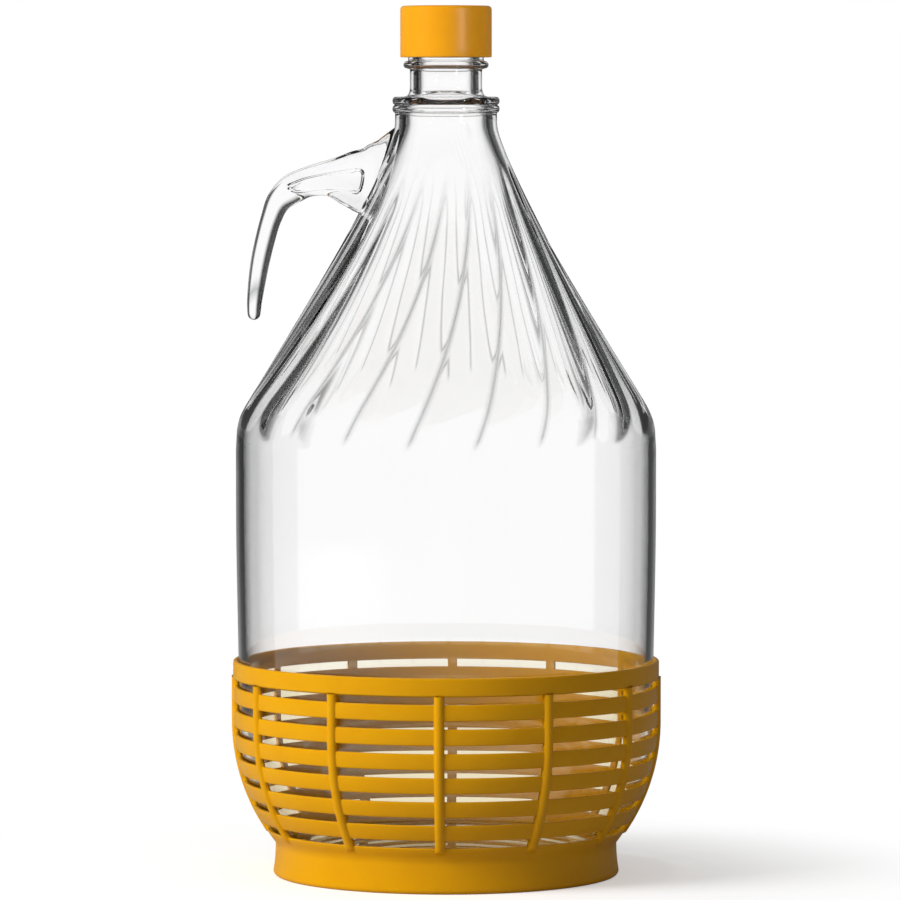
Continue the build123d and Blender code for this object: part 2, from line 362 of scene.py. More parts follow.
@dataclass(frozen=True)
class MouldedPlastic:
    """Semi-gloss moulded plastic with faint flow marks and a little light passing through."""

    name: str
    colour: Colour
    deep_colour: Colour
    specular: float
    roughness: float = 0.34
    rough_below: float = 0.05
    rough_above: float = 0.08
    ior: float = 1.49
    glow: float = 0.12
    glow_reach: tuple[float, float, float] = (1.0, 0.35, 0.05)
    glow_scale: float = 0.0025
    mottle_scale: float = 60.0
    mottle_low: float = 0.35
    mottle_high: float = 0.7
    mottle_strength: float = 0.35
    grain_scale: float = 900.0
    grain_strength: float = 0.04
    grain_distance: float = 0.0004

    def build(self) -> bpy.types.Material:
        """Make the material.

        Returns:
            The plastic, with its colour mottled and its surface lightly grained.
        """
        material, graph = new_material(self.name)
        place = graph.add("TexCoord")
        mottle = graph.add("TexNoise", Scale=self.mottle_scale, Detail=4.0, Roughness=0.55)
        graph.link(place, "Object", mottle, "Vector")
        spread = graph.add("MapRange", From_Min=self.mottle_low, From_Max=self.mottle_high)
        spread.inputs["To Max"].default_value = self.mottle_strength
        graph.link(mottle, "Fac", spread, "Value")
        tone = graph.add("Mix", data_type="RGBA")
        tone.inputs[MIX_BASE].default_value = self.colour
        tone.inputs[MIX_TINT].default_value = self.deep_colour
        graph.link(spread, "Result", tone, "Factor")
        grain = graph.add("TexNoise", Scale=self.grain_scale, Detail=3.0, Roughness=0.6)
        graph.link(place, "Object", grain, "Vector")
        bump = graph.add("Bump", Strength=self.grain_strength, Distance=self.grain_distance)
        graph.link(grain, "Fac", bump, "Height")
        rough = graph.add("MapRange", To_Min=self.roughness - self.rough_below)
        rough.inputs["To Max"].default_value = self.roughness + self.rough_above
        graph.link(mottle, "Fac", rough, "Value")
        plastic = graph.add("BsdfPrincipled", IOR=self.ior, Specular_IOR_Level=self.specular)
        plastic.inputs["Subsurface Weight"].default_value = self.glow
        plastic.inputs["Subsurface Radius"].default_value = self.glow_reach
        plastic.inputs["Subsurface Scale"].default_value = self.glow_scale
        graph.link(tone, MIX_RESULT, plastic, "Base Color")
        graph.link(rough, "Result", plastic, "Roughness")
        graph.link(bump, "Normal", plastic, "Normal")
        out = graph.add("OutputMaterial")
        graph.link(plastic, "BSDF", out, "Surface")
        return material


@dataclass(frozen=True)
class FoamDisc:
    """Closed-cell foam of a sealing disc."""

    name: str = "liner_foam"
    colour: Colour = (0.78, 0.77, 0.72, 1.0)
    # Painted shade: how dark each cell is in its middle, where the bump dips
    cell_painted_shade: float = 0.85
    cell_scale: float = 1600.0
    cell_strength: float = 0.25
    cell_distance: float = 0.0003
    roughness: float = 0.75

    def build(self) -> bpy.types.Material:
        """Make the material.

        Returns:
            The matte foam with its fine cells.
        """
        material, graph = new_material(self.name)
        place = graph.add("TexCoord")
        cells = graph.add("TexVoronoi", Scale=self.cell_scale)
        graph.link(place, "Object", cells, "Vector")
        bump = graph.add("Bump", Strength=self.cell_strength, Distance=self.cell_distance)
        graph.link(cells, "Distance", bump, "Height")
        # Painted shade: each cell darker towards its middle, where the bump dips
        shaded = tuple(self.cell_painted_shade * part for part in self.colour[:3]) + (1.0,)
        tone = graph.ramp((0.0, shaded), (1.0, self.colour), interpolation="LINEAR")
        graph.link(cells, "Distance", tone, "Fac")
        foam = graph.add("BsdfPrincipled", Roughness=self.roughness)
        graph.link(tone, "Color", foam, "Base Color")
        graph.link(bump, "Normal", foam, "Normal")
        out = graph.add("OutputMaterial")
        graph.link(foam, "BSDF", out, "Surface")
        return material


def even_turn(count: int) -> np.ndarray:
    """Azimuths in degrees that share one turn evenly."""
    return np.arange(count) * 360.0 / count


def circle_points(radius: np.ndarray, azimuth: np.ndarray, height: np.ndarray) -> np.ndarray:
    """Points from cylinder coordinates, with azimuth 0 at the front and growing towards +X.

    Args:
        radius: distances from the axis, in millimetres.
        azimuth: angles in degrees.
        height: heights in millimetres.

    Returns:
        One row of x, y, z for each point.
    """
    angle = np.radians(azimuth)
    stacked = np.stack([radius * np.sin(angle), -radius * np.cos(angle), height], axis=-1)
    return stacked.reshape(-1, 3)


def level_row(radius: float, azimuth: np.ndarray, height: float) -> np.ndarray:
    """Points of a level ring at the azimuths."""
    return circle_points(np.full_like(azimuth, radius), azimuth, np.full_like(azimuth, height))


def turned_rows(profile: Profile, azimuth: np.ndarray) -> list[np.ndarray]:
    """Level rings along a profile of radii and heights."""
    return [level_row(radius, azimuth, height) for radius, height in profile]


def arc_rows(centre: tuple[float, float], radius: float, start: float, end: float, count: int) -> Profile:
    """Points of an arc in the profile plane.

    Args:
        centre: radius and height of the arc's centre.
        radius: the arc's own radius.
        start: first angle in degrees, 0 pointing outwards and 90 up.
        end: last angle in degrees.
        count: how many points.

    Returns:
        Pairs of radius and height.
    """
    points = []
    for angle in np.radians(np.linspace(start, end, count)):
        points.append((centre[0] + radius * math.cos(angle), centre[1] + radius * math.sin(angle)))
    return points


@dataclass(frozen=True)
class Thread:
    """A single-start right-hand thread, the same for the mouth and the cap."""

    pitch: float = 4.0
    crest: float = 0.35
    flank: float = 0.7
    fade: float = 1.2

    def ridge(
        self, azimuth: np.ndarray, height: np.ndarray, low: float, high: float, shift: float = 0.0
    ) -> np.ndarray:
        """Height of the ridge as a share of its full height.

        Args:
            azimuth: angles in degrees.
            height: heights in millimetres.
            low: where the ridge starts.
            high: where it ends.
            shift: how far the ridge is moved up, in millimetres.

        Returns:
            Shares from 0 in the groove to 1 on the crest.
        """
        helix = low + shift + self.pitch * azimuth / 360.0
        turns = np.round((height - helix) / self.pitch)
        middle = helix + turns * self.pitch
        away = np.abs(height - middle)
        form = 1.0 - smooth_step((away - self.crest) / self.flank)
        ends = smooth_step((middle - low) / self.fade) * smooth_step((high - middle) / self.fade)
        return form * ends


@dataclass
class GlassBottle:
    """The bottle: one piece of glass with a swirled shoulder, a threaded mouth and a hook handle."""

    glass: ClearGlass = field(default_factory=ClearGlass)
    thread: Thread = field(default_factory=Thread)

    # Body, heel and bottom
    body_radius: float = 90.0
    heel_radius: float = 88.8
    body_wall: float = 3.0
    bottom_wall: float = 5.0
    punt: float = 4.0
    stand_inset: float = 9.0
    heel_round: float = 5.0
    widest_low: float = 158.0
    widest_high: float = 185.0
    bowl_arc: float = 82.8
    bowl_top: float = 66.0
    seat: float = 9.5

    # Shoulder and its flutes
    shoulder_arc: float = 40.0
    shoulder_angle: float = 33.7
    flank_reach: float = 60.0
    flank_settle: float = 10.0
    flute_count: int = 20
    flute_columns: int = 16
    flute_depth: float = 1.7
    flute_ridge_round: float = 0.05
    flute_twist: float = 0.26
    flute_phase: float = -2.5
    flute_foot: float = 195.4
    flute_foot_lean: float = 13.0
    flute_head: float = 309.0
    flute_fade: float = 26.0
    flute_edge_round: float = 0.07
    flute_lead: float = 4.0
    flute_taper: float = 0.75
    flute_crowd: float = 0.4
    # Reach, depth, start and fades of the mask of the painted shade lines along the flute ridges
    crease_reach: float = 1.7
    crease_depth: float = 0.75
    crease_start: float = 3.0
    crease_swell: float = 6.0
    crease_fade_from: float = 270.0
    crease_fade: float = 36.0
    sharp_angle: float = 38.0

    # Neck, collar and mouth
    neck_radius: float = 21.8
    neck_foot: float = 322.0
    neck_wall: float = 4.5
    collar_foot: float = 326.6
    collar_height: float = 6.8
    collar_proud: float = 1.1
    collar_sink: float = 0.1
    collar_gap: float = 0.4
    shelf_inset: float = 0.5
    shelf_rise: float = 0.1
    tube_radius: float = 15.4
    tube_foot: float = 338.0
    tube_flare: float = 2.8
    bead_radius: float = 18.2
    bead_foot: float = 345.5
    bead_height: float = 3.2
    bead_cove: float = 0.15
    finish_radius: float = 16.2
    mouth_height: float = 20.0
    mouth_bore: float = 11.8
    hollow_gap: float = 1.0
    least_rise: float = 0.01
    mouth_edge: float = 1.4
    thread_height: float = 1.25
    thread_lead: float = 4.2
    thread_end: float = 3.2

    # Hook handle: each station has its x and height, the section's depth and what its width gains
    handle_wide: float = 10.5
    handle_square: float = 0.85
    handle_stations: tuple[tuple[float, float, float, float], ...] = (
        (-14.0, 303.0, 38.5, 2.0), (-24.0, 299.2, 33.4, 0.5), (-33.0, 297.6, 30.2, 0.0),
        (-41.5, 298.2, 23.8, 0.0), (-50.5, 298.6, 15.6, 0.0), (-59.0, 297.1, 12.9, 0.0),
        (-66.0, 293.9, 12.8, 0.0), (-71.6, 288.8, 10.6, -0.6), (-74.9, 281.2, 8.9, -1.4),
        (-77.4, 272.4, 8.5, -2.2), (-79.6, 262.6, 8.1, -2.9), (-81.2, 252.4, 7.2, -3.7),
        (-82.0, 245.5, 6.3, -4.4), (-82.2, 240.9, 5.6, -5.0),
    )
    handle_turns: int = 32
    handle_steps: int = 90
    tip_turns: tuple[float, ...] = (25.0, 48.0, 68.0, 82.0)
    trim_foot: float = 250.0
    trim_over: float = 4.0
    trim_columns: int = 96

    # Pocket in each face of the handle's arm
    pocket_floor: float = 3.2
    pocket_round: float = 0.5
    pocket_spread: tuple[float, ...] = (0.86, 0.95, 1.0, 1.04)
    pocket_corner_cut: float = 0.2
    pocket_corners: tuple[tuple[float, float], ...] = (
        (-69.0, 294.6), (-60.0, 298.4), (-48.0, 301.0), (-34.0, 303.6),
        (-36.0, 291.5), (-44.0, 293.6), (-54.0, 293.8), (-64.0, 291.8),
    )

    @property
    def finish_foot(self) -> float:
        """Height of the bead's upper side, where the mouth's own surface starts."""
        return self.bead_foot + self.bead_height

    @property
    def lip(self) -> float:
        """Height of the mouth's upper face."""
        return self.finish_foot + self.mouth_height

    @property
    def thread_low(self) -> float:
        """Height where the mouth's thread starts."""
        return self.finish_foot + self.thread_lead

    @property
    def thread_high(self) -> float:
        """Height where the mouth's thread ends."""
        return self.lip - self.thread_end

    def bowl_radius(self, arc: float, height: float) -> float:
        """Radius of the round bowl at a height."""
        return self.heel_radius - self.bowl_arc + math.sqrt(arc**2 - (self.bowl_top - height) ** 2)

    def punt_height(self, floor: float, flat: float, radius: float) -> float:
        """Height of the bottom's dome at a radius.

        Args:
            floor: height of the flat that the dome rises from.
            flat: radius where the dome starts.
            radius: distance from the axis.

        Returns:
            The height of the dome's surface.
        """
        sphere = (flat**2 + self.punt**2) / (2 * self.punt)
        return floor + self.punt - sphere + math.sqrt(sphere**2 - radius**2)

    def skin_table(self, inward: float = 0.0) -> tuple[np.ndarray, np.ndarray]:
        """Heights and radii of the plain skin from the bowl up to the neck.

        Args:
            inward: how far inside the outer skin, in millimetres.

        Returns:
            Heights and radii, rising.
        """
        lean = math.radians(self.shoulder_angle)
        arc = self.shoulder_arc - inward
        centre = self.body_radius - self.shoulder_arc
        heights = list(np.linspace(self.bowl_top, self.widest_low, 40))
        swell = smooth_step((np.array(heights) - self.bowl_top) / (self.widest_low - self.bowl_top))
        radii = list(self.heel_radius + (self.body_radius - self.heel_radius) * swell - inward)
        for turn in np.linspace(0.0, lean, 24):
            heights.append(self.widest_high + arc * math.sin(turn))
            radii.append(centre + arc * math.cos(turn))
        out, up = math.cos(lean), math.sin(lean)
        foot = np.array([centre + self.shoulder_arc * out, self.widest_high + self.shoulder_arc * up])
        head = np.array([self.neck_radius, self.neck_foot])
        reach = foot + self.flank_reach * np.array([-up, out])
        settle = head - np.array([0.0, self.flank_settle])
        if inward:
            step = inward * np.array([-out, -up])
            foot, reach = foot + step, reach + step
            narrow = np.array([-self.neck_wall, 0.0])
            settle, head = settle + narrow, head + narrow
        for share in np.linspace(0.02, 1.0, 120):
            back = 1.0 - share
            point = foot * back**3 + reach * 3 * back**2 * share
            point = point + settle * 3 * back * share**2 + head * share**3
            radii.append(float(point[0]))
            heights.append(float(point[1]))
        return np.array(heights), np.array(radii)

    def column_places(self) -> tuple[np.ndarray, np.ndarray]:
        """Azimuth of each column at the flutes' feet, and its place across its flute.

        Returns:
            Azimuths in degrees, and places from -1 at one ridge to 1 at the next.
        """
        pitch = 360.0 / self.flute_count
        share = np.arange(self.flute_columns) / self.flute_columns * 2.0 - 1.0
        across = (1.0 - self.flute_crowd) * share + self.flute_crowd * np.sin(math.pi / 2 * share)
        azimuth, place = [], []
        for number in range(self.flute_count):
            azimuth.append(self.flute_phase + pitch * (number + across / 2))
            place.append(across)
        return np.concatenate(azimuth), np.concatenate(place)

    def relief(
        self, across: np.ndarray, climb: np.ndarray, radius: np.ndarray, height: np.ndarray
    ) -> np.ndarray:
        """Depth of the flutes under the plain skin.

        Args:
            across: place across the flute, -1 to 1.
            climb: height above the flute's lower end.
            radius: the skin's radius there.
            height: height above the ground.

        Returns:
            Depths in millimetres.
        """
        rounding = math.pi / self.flute_count * self.body_radius
        inside = 1.0 - np.abs(across)
        inside = np.sqrt(inside**2 + self.flute_ridge_round**2) - self.flute_ridge_round
        bowl = inside * (2.0 - inside)
        lift = np.clip(1.0 - climb / rounding, 0.0, None) ** 2
        fade = 1.0 - smooth_step((height - (self.flute_head - self.flute_fade)) / self.flute_fade)
        depth = self.flute_depth * (radius / self.body_radius) ** self.flute_taper
        return depth * soft_floor(bowl * fade - lift, self.flute_edge_round)

    def outer_rows(self) -> np.ndarray:
        """Points of the outer skin, row by row from the bottom's middle up to the lip.

        Returns:
            An array of rows, columns and x, y, z.
        """
        foot_azimuth, across = self.column_places()
        foot = self.flute_foot - self.flute_foot_lean * np.cos(np.radians(foot_azimuth))
        table_height, table_radius = self.skin_table()
        rows = []

        def plain(radius: float, height: float, twist: float = 0.0) -> None:
            """Add one level row."""
            rows.append(level_row(radius, foot_azimuth + twist * (self.flute_head - foot), height))

        stand = self.bowl_radius(self.bowl_arc, self.seat) - self.stand_inset
        for radius in stand * np.linspace(0.02, 1.0, 8):
            plain(radius, self.punt_height(self.seat, stand, radius))
        for radius, height in self.heel_points(self.bowl_arc, self.seat):
            plain(radius, height)
        for height in np.linspace(self.bowl_top, self.widest_low, 12)[1:]:
            plain(float(np.interp(height, table_height, table_radius)), float(height))
        levels = []
        for share in np.linspace(0.0, 1.0, 5)[1:]:
            levels.append(self.widest_low + (foot - self.flute_lead - self.widest_low) * share)
        rounding = math.pi / self.flute_count * self.body_radius
        for climb in np.linspace(-self.flute_lead, rounding, 22)[1:]:
            levels.append(foot + climb)
        for share in np.linspace(0.0, 1.0, 62)[1:]:
            levels.append(foot + rounding + (self.flute_head - foot - rounding) * share)
        for height in levels:
            radius = np.interp(height, table_height, table_radius)
            depth = self.relief(across, height - foot, radius, height)
            turned = foot_azimuth + self.flute_twist * np.clip(height - foot, 0.0, None)
            rows.append(circle_points(radius - depth, turned, height))
        twist = self.flute_twist
        for height in np.linspace(self.flute_head, self.neck_foot, 7)[1:]:
            plain(float(np.interp(height, table_height, table_radius)), float(height), twist)
        for radius, height in self.neck_points():
            plain(radius, height, twist)
        turned = foot_azimuth + twist * (self.flute_head - foot)
        for height in np.linspace(self.finish_foot + 2 * self.bead_cove, self.lip - self.mouth_edge, 46):
            level = np.full_like(turned, height)
            ridge = self.thread.ridge(turned, level, self.thread_low, self.thread_high)
            rows.append(circle_points(self.finish_radius + self.thread_height * ridge, turned, level))
        edge = self.mouth_edge
        for radius, height in arc_rows((self.finish_radius - edge, self.lip - edge), edge, 0, 90, 6)[1:]:
            plain(radius, height, twist)
        return np.array(rows).reshape(len(rows), len(foot_azimuth), 3)

    def heel_points(self, arc: float, floor: float) -> Profile:
        """Profile of the rounded heel and the bowl above it.

        Args:
            arc: radius of the bowl's arc.
            floor: height of the flat under the heel.

        Returns:
            Pairs of radius and height, from the flat up to the bowl's top.
        """
        centre = self.heel_radius - self.bowl_arc
        size = self.heel_round
        rise = floor + size
        run = centre + math.sqrt((arc - size) ** 2 - (self.bowl_top - rise) ** 2)
        touch = math.degrees(math.atan2(rise - self.bowl_top, run - centre))
        points = arc_rows((run, rise), size, -90, touch, 7)
        points += arc_rows((centre, self.bowl_top), arc, touch, 0, 14)[1:]
        return points

    def neck_points(self) -> Profile:
        """Profile of the neck: its collar of two beads, the flare, the tube and the bead.

        Returns:
            Pairs of radius and height, rising.
        """
        points = [(self.neck_radius, self.collar_foot - self.collar_gap)]
        quarter = self.collar_height / 4
        for number in (1, 3):
            middle = self.collar_foot + number * quarter
            for turn in np.radians(np.linspace(-80, 80, 9)):
                radius = self.neck_radius - self.collar_sink
                radius += (self.collar_proud + self.collar_sink) * math.cos(turn)
                points.append((radius, middle + quarter * math.sin(turn)))
        top = self.collar_foot + self.collar_height
        shelf, rise = self.tube_radius + self.tube_flare, self.shelf_rise
        points.append((self.neck_radius - self.shelf_inset, top + rise / 2))
        points.append((shelf + self.shelf_inset, top + rise))
        for share in np.linspace(0.0, 1.0, 9):
            back = 1.0 - share
            radius = shelf * back**2 + self.tube_radius * (2 * back * share + share**2)
            height = (top + rise) * (back**2 + 2 * back * share) + self.tube_foot * share**2
            points.append((radius, height))
        middle = self.bead_foot + self.bead_height / 2
        size = self.bead_height / 2
        cove = self.bead_cove
        points.append((self.tube_radius, self.bead_foot - 8 * cove))
        points.append((self.tube_radius + cove, self.bead_foot - 2 * cove))
        points += arc_rows((self.bead_radius - size, middle), size, -90, 90, 9)
        points.append((self.finish_radius + cove, self.finish_foot + cove / 3))
        return points

    def inner_profile(self) -> Profile:
        """Profile of the hollow, from the bottom's middle up to the lip's inner edge.

        Returns:
            Pairs of radius and height.
        """
        floor = self.seat + self.bottom_wall
        arc = self.bowl_arc - self.body_wall
        heel = self.heel_points(arc, floor)
        flat = heel[0][0]
        dome = flat * np.linspace(0.03, 0.97, 10)
        points = [(radius, self.punt_height(floor, flat, radius)) for radius in dome] + heel
        heights, radii = self.skin_table(self.body_wall)
        body = np.linspace(self.bowl_top, self.widest_high, 14)[1:]
        flank = np.linspace(self.widest_high, self.neck_foot, 56)[1:]
        for height in np.concatenate([body, flank]):
            points.append((float(np.interp(height, heights, radii)), float(height)))
        narrow = self.neck_radius - self.neck_wall
        tube = self.tube_foot - self.tube_flare
        points.append((narrow, self.collar_foot - self.hollow_gap))
        for share in np.linspace(0.0, 1.0, 10):
            back = 1.0 - share
            leave, arrive = back**3 + 3 * back**2 * share, 3 * back * share**2 + share**3
            radius = narrow * leave + self.mouth_bore * arrive
            height = (
                self.collar_foot * (back**3 + 3 * back * share**2)
                + (self.collar_foot + self.collar_height) * 3 * back**2 * share
                + tube * share**3
            )
            straight = self.collar_foot + self.least_rise + share * (tube - self.collar_foot)
            points.append((radius, max(height, straight)))
        for height in np.linspace(tube, self.lip - self.mouth_edge, 10)[1:]:
            points.append((self.mouth_bore, float(height)))
        edge = self.mouth_edge
        points += arc_rows((self.mouth_bore + edge, self.lip - edge), edge, 180, 90, 6)[1:]
        return points

    def skin(self) -> bpy.types.Object:
        """Make the closed shell of the bottle without its handle.

        Returns:
            The shell as one mesh object.
        """
        outer = self.outer_rows()
        rows, columns = outer.shape[:2]
        inner_columns = columns // 2
        azimuth = np.degrees(np.arctan2(outer[-1, ::2, 0], -outer[-1, ::2, 1]))
        profile = self.inner_profile()
        inner = np.array(turned_rows(profile, azimuth))
        start = rows * columns
        faces = grid_faces(rows, columns)
        faces += grid_faces(len(profile), inner_columns, start, flip=True)
        top_outer = (rows - 1) * columns
        top_inner = start + (len(profile) - 1) * inner_columns
        for column in range(inner_columns):
            outside = [top_outer + index % columns for index in range(2 * column, 2 * column + 3)]
            faces.append((*outside, top_inner + (column + 1) % inner_columns, top_inner + column))
        bottom = start + len(profile) * inner_columns
        for column in range(columns):
            faces.append((bottom, (column + 1) % columns, column))
        for column in range(inner_columns):
            faces.append((bottom + 1, start + column, start + (column + 1) % inner_columns))
        middle = axis_points(self.seat + self.punt, self.seat + self.bottom_wall + self.punt)
        points = [outer.reshape(-1, 3), inner.reshape(-1, 3), middle]
        return mesh_object("glass_shell", np.concatenate(points), faces)

    def handle(self) -> bpy.types.Object:
        """Make the closed mesh of the hook handle, its root still reaching into the neck.

        Returns:
            The handle as one mesh object.
        """
        stations = np.array(self.handle_stations)
        stations[:, 3] += self.handle_wide
        places = np.linspace(0.0, len(stations) - 1.0, self.handle_steps)
        path = np.array([self.along(stations, place) for place in places])
        turns = np.radians(even_turn(self.handle_turns))
        tall_share, wide_share = np.cos(turns), np.sin(turns)
        slope = np.gradient(path[:, :2], axis=0)
        slope /= np.linalg.norm(slope, axis=1)[:, None]
        rows = []
        for (x, z, tall, wide), (run, rise) in zip(path, slope):
            up = tall / 2 * tall_share
            side = wide / 2 * np.sign(wide_share) * np.abs(wide_share) ** self.handle_square
            rows.append(np.stack([x + rise * up, side, z - run * up], axis=-1))
        for turn in np.radians(self.tip_turns):
            ahead, shrink = tall / 2 * math.sin(turn), math.cos(turn)
            up, side = tall / 2 * tall_share * shrink, wide / 2 * wide_share * shrink
            rows.append(np.stack([x + run * ahead + rise * up, side, z + rise * ahead - run * up], axis=-1))
        return closed_tube("glass_handle", rows)

    def along(self, stations: np.ndarray, value: float) -> np.ndarray:
        """A point of the smooth curve through the stations.

        Args:
            stations: one row for each station.
            value: place along them, 0 at the first and count - 1 at the last.

        Returns:
            The values between the stations.
        """
        index = min(int(value), len(stations) - 2)
        share = value - index
        before = stations[max(index - 1, 0)]
        here, there = stations[index], stations[index + 1]
        after = stations[min(index + 2, len(stations) - 1)]
        leave, arrive = (there - before) / 2, (after - here) / 2
        cube, square = share**3, share**2
        return (
            here * (2 * cube - 3 * square + 1)
            + leave * (cube - 2 * square + share)
            + there * (3 * square - 2 * cube)
            + arrive * (cube - square)
        )

    def root_trim(self) -> bpy.types.Object:
        """Make the solid that ends the handle's root inside the neck's wall.

        Returns:
            A closed solid of revolution, midway in the wall.
        """
        heights, radii = self.skin_table()
        azimuth = even_turn(self.trim_columns)
        rows = []
        for height in np.linspace(self.trim_foot, self.neck_foot + self.trim_over, 30):
            rows.append(level_row(np.interp(height, heights, radii) - self.body_wall / 2, azimuth, height))
        return closed_tube("root_trim", rows)

    def pocket(self, side: float) -> bpy.types.Object:
        """Make the tool that cuts the shallow pocket in one face of the handle's arm.

        Args:
            side: -1 for the front face, 1 for the back face.

        Returns:
            The tool as one closed mesh object.
        """
        outline, cut = np.array(self.pocket_corners), self.pocket_corner_cut
        for _ in range(3):
            after = np.roll(outline, -1, axis=0)
            pair = [(1.0 - cut) * outline + cut * after, cut * outline + (1.0 - cut) * after]
            outline = np.stack(pair, axis=1).reshape(-1, 2)
        centre = outline.mean(axis=0)
        floor, face = self.pocket_floor, self.handle_wide / 2
        levels = (floor, floor + self.pocket_round, face, 2 * face)
        rows = []
        for level, spread in zip(levels, self.pocket_spread):
            flat = centre + (outline - centre) * spread
            rows.append(np.stack([flat[:, 0], np.full(len(flat), side * level), flat[:, 1]], axis=-1))
        return closed_tube("pocket_tool", rows)

    def mark_ridge_shade(self, piece: bpy.types.Object) -> None:
        """Store on the mesh how near each point lies to a ridge between two flutes: the mask of the painted
        shade lines along the ridges.
        """
        mesh = piece.data
        places = np.empty(len(mesh.vertices) * 3)
        mesh.vertices.foreach_get("co", places)
        x, y, height = (places.reshape(-1, 3) / MM).T
        radius = np.hypot(x, y)
        azimuth = np.degrees(np.arctan2(x, -y))
        start = azimuth
        for _ in range(12):
            foot = self.flute_foot - self.flute_foot_lean * np.cos(np.radians(start))
            start = azimuth - self.flute_twist * np.clip(height - foot, 0.0, None)
        pitch = 360.0 / self.flute_count
        turn = (start - self.flute_phase) / pitch
        away = (0.5 - np.abs(turn - np.round(turn))) * np.radians(pitch) * radius
        heights, radii = self.skin_table()
        outside = radius > np.interp(height, heights, radii) - self.crease_depth * self.body_wall
        climb = height - foot
        rise = smooth_step((climb - self.crease_start) / self.crease_swell)
        fade = 1.0 - smooth_step((height - self.crease_fade_from) / self.crease_fade)
        value = np.clip(1.0 - away / self.crease_reach, 0.0, 1.0) * (rise * fade) * outside
        store = mesh.attributes.new(RIDGE_SHADE_ATTRIBUTE, "FLOAT", "POINT")
        store.data.foreach_set("value", value.astype(np.float32))

    def build(self) -> bpy.types.Object:
        """Make, join and dress the bottle.

        Returns:
            The finished piece, riding on the bottle's body.
        """
        piece, handle = self.skin(), self.handle()
        recalculate_normals(piece)
        for tool in (self.root_trim(), self.pocket(-1.0), self.pocket(1.0)):
            combine(handle, tool, "DIFFERENCE")
        combine(piece, handle, "UNION")
        piece.name = "bottle_glass"
        self.mark_ridge_shade(piece)
        piece.data.shade_smooth()
        piece.data.set_sharp_from_angle(angle=math.radians(self.sharp_angle))
        piece.data.materials.clear()
        piece.data.materials.append(self.glass.build())
        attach(piece, Body.BOTTLE.value)
        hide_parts("glass_bottle")
        return piece


def combine(piece: bpy.types.Object, other: bpy.types.Object, operation: str) -> None:
    """Apply an exact boolean to a piece and remove the other one.

    Args:
        piece: the object that keeps the result.
        other: the object that is used up.
        operation: UNION or DIFFERENCE.
    """
    change = piece.modifiers.new("combine", "BOOLEAN")
    change.operation = operation
    change.solver = "EXACT"
    change.object = other
    bpy.context.view_layer.update()
    ready = piece.evaluated_get(bpy.context.evaluated_depsgraph_get())
    mesh = bpy.data.meshes.new_from_object(ready)
    piece.modifiers.clear()
    piece.data = mesh
    bpy.data.objects.remove(other)


@dataclass
class Ring:
    """One level ring of points of the basket's surface.

    It holds how far the ribs stand out on it, as a share, and how far off the nearest gap's edge is.
    """

    radius: float
    height: float
    rib: float = 0.0
    gap_away: float = 9.0
    inner: bool = False


def plain_rings(profile: Profile, inner: bool = False) -> list[Ring]:
    """Rings without ribs or gaps along a profile of radii and heights."""
    return [Ring(radius, height, inner=inner) for radius, height in profile]


